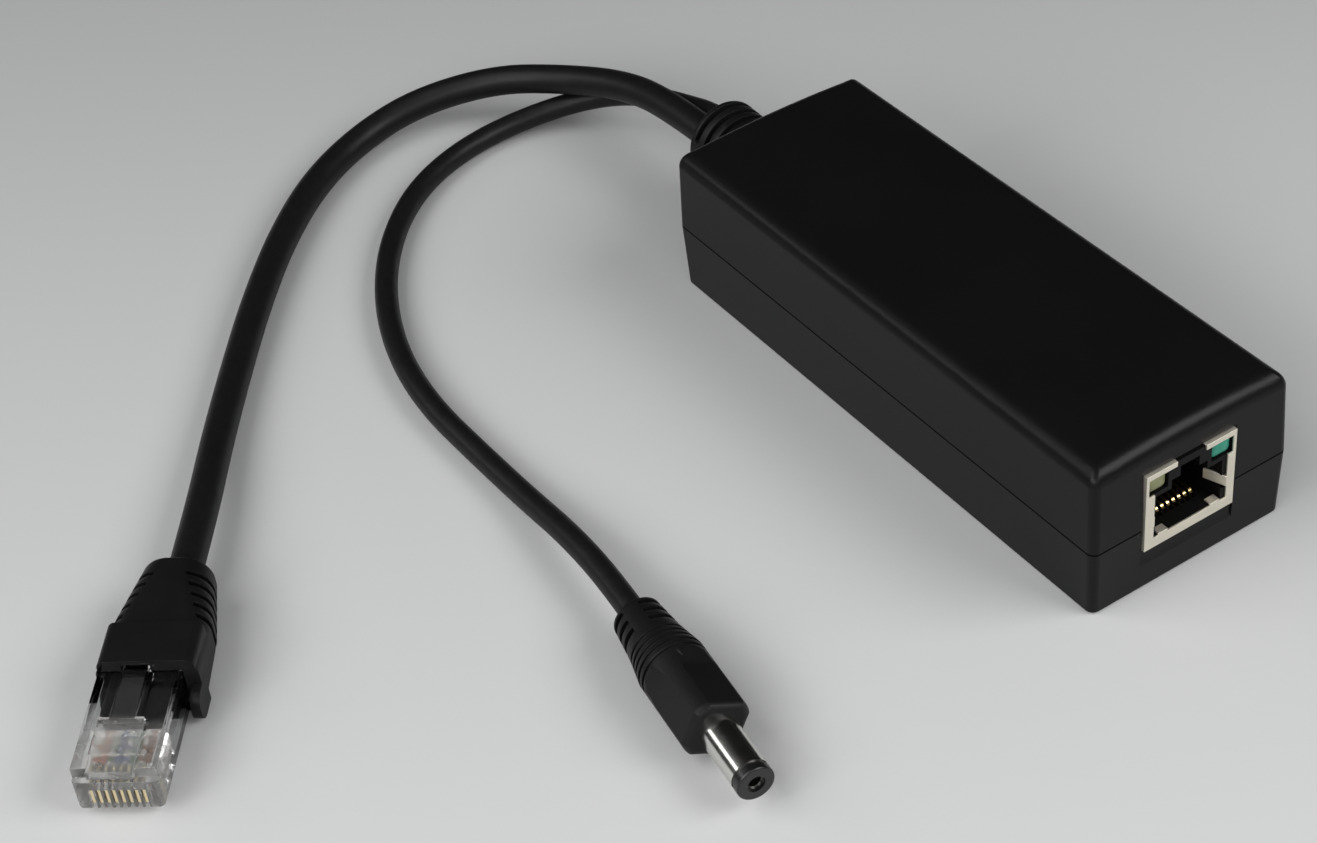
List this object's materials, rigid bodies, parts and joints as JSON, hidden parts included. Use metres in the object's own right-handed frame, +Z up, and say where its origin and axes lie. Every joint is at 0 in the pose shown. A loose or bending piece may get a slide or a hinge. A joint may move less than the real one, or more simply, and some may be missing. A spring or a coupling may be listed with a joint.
{
  "type": "PoE splitter",
  "caption": "Two-shell power splitter with a shielded network jack, and two captive cords from a ribbed strain relief to a clear network plug and a round power plug",
  "frame": {"origin": "centre of the housing's bottom face", "axes": "+X along the housing towards the jack, +Y across it, +Z up out of its top"},
  "size_m": [0.1694, 0.1629, 0.0258],
  "materials": {
    "shell_plastic": "fine satin moulded surface",
    "board": "solder mask",
    "shield_metal": "tin-plated sheet",
    "jack_plastic": "moulded insulator",
    "yellow_lens": "translucent lens, unlit",
    "green_lens": "translucent lens, unlit",
    "package_black": "moulded package",
    "ferrite": "ground ferrite",
    "coil_tape": "wound tape",
    "coupler_white": "moulded package",
    "capacitor_sleeve": "shrunk sleeve",
    "cord_rubber": "soft moulded jacket",
    "clear_plastic": "clear moulding",
    "gold": "gold-plated",
    "nickel": "nickel-plated",
    "tip_plastic": "moulded insulator",
    "lead_orange": "insulation",
    "lead_blue": "insulation",
    "lead_green": "insulation",
    "lead_brown": "insulation",
    "lead_orange_white": "striped insulation",
    "lead_blue_white": "striped insulation",
    "lead_green_white": "striped insulation",
    "lead_brown_white": "striped insulation",
    "lead_black": "insulation",
    "lead_red": "insulation"
  },
  "bodies": {
    "root": {"lower_shell": "shell_plastic", "upper_shell": "shell_plastic", "circuit_board": "board", "jack_shield": "shield_metal", "jack_body": "jack_plastic", "jack_lamp_yellow": "yellow_lens", "jack_lamp_green": "green_lens", "network_transformer": "package_black", "power_transformer_core": "ferrite", "power_transformer_coil": "coil_tape", "power_transformer_foot": "package_black", "bridge_rectifier_1": "package_black", "bridge_rectifier_2": "package_black", "power_controller": "package_black", "output_diode": "package_black", "feedback_coupler": "coupler_white", "output_choke": "ferrite", "input_capacitor": "capacitor_sleeve", "output_capacitor_front": "capacitor_sleeve", "output_capacitor_rear": "capacitor_sleeve", "cable_gland": "cord_rubber", "network_lead_pair_1": "lead_orange", "network_lead_pair_2": "lead_blue", "network_lead_pair_3": "lead_green", "network_lead_pair_4": "lead_brown", "power_lead_negative": "lead_black", "power_lead_positive": "lead_red", "network_cord": "cord_rubber", "power_cord": "cord_rubber", "plug_boot": "cord_rubber", "plug_body": "clear_plastic", "plug_jacket_end": "cord_rubber", "power_plug_grip": "cord_rubber", "power_plug_barrel": "nickel", "power_plug_tip": "tip_plastic", "power_plug_inner_contact": "nickel", "jack_contact_1": "gold", "jack_contact_2": "gold", "jack_contact_3": "gold", "jack_contact_4": "gold", "jack_contact_5": "gold", "jack_contact_6": "gold", "jack_contact_7": "gold", "jack_contact_8": "gold", "plug_contact_1": "gold", "plug_contact_2": "gold", "plug_contact_3": "gold", "plug_contact_4": "gold", "plug_contact_5": "gold", "plug_contact_6": "gold", "plug_contact_7": "gold", "plug_contact_8": "gold", "plug_wire_1": "lead_orange_white", "plug_wire_2": "lead_orange", "plug_wire_3": "lead_green_white", "plug_wire_4": "lead_blue", "plug_wire_5": "lead_blue_white", "plug_wire_6": "lead_green", "plug_wire_7": "lead_brown_white", "plug_wire_8": "lead_brown"}
  },
  "joints": []
}
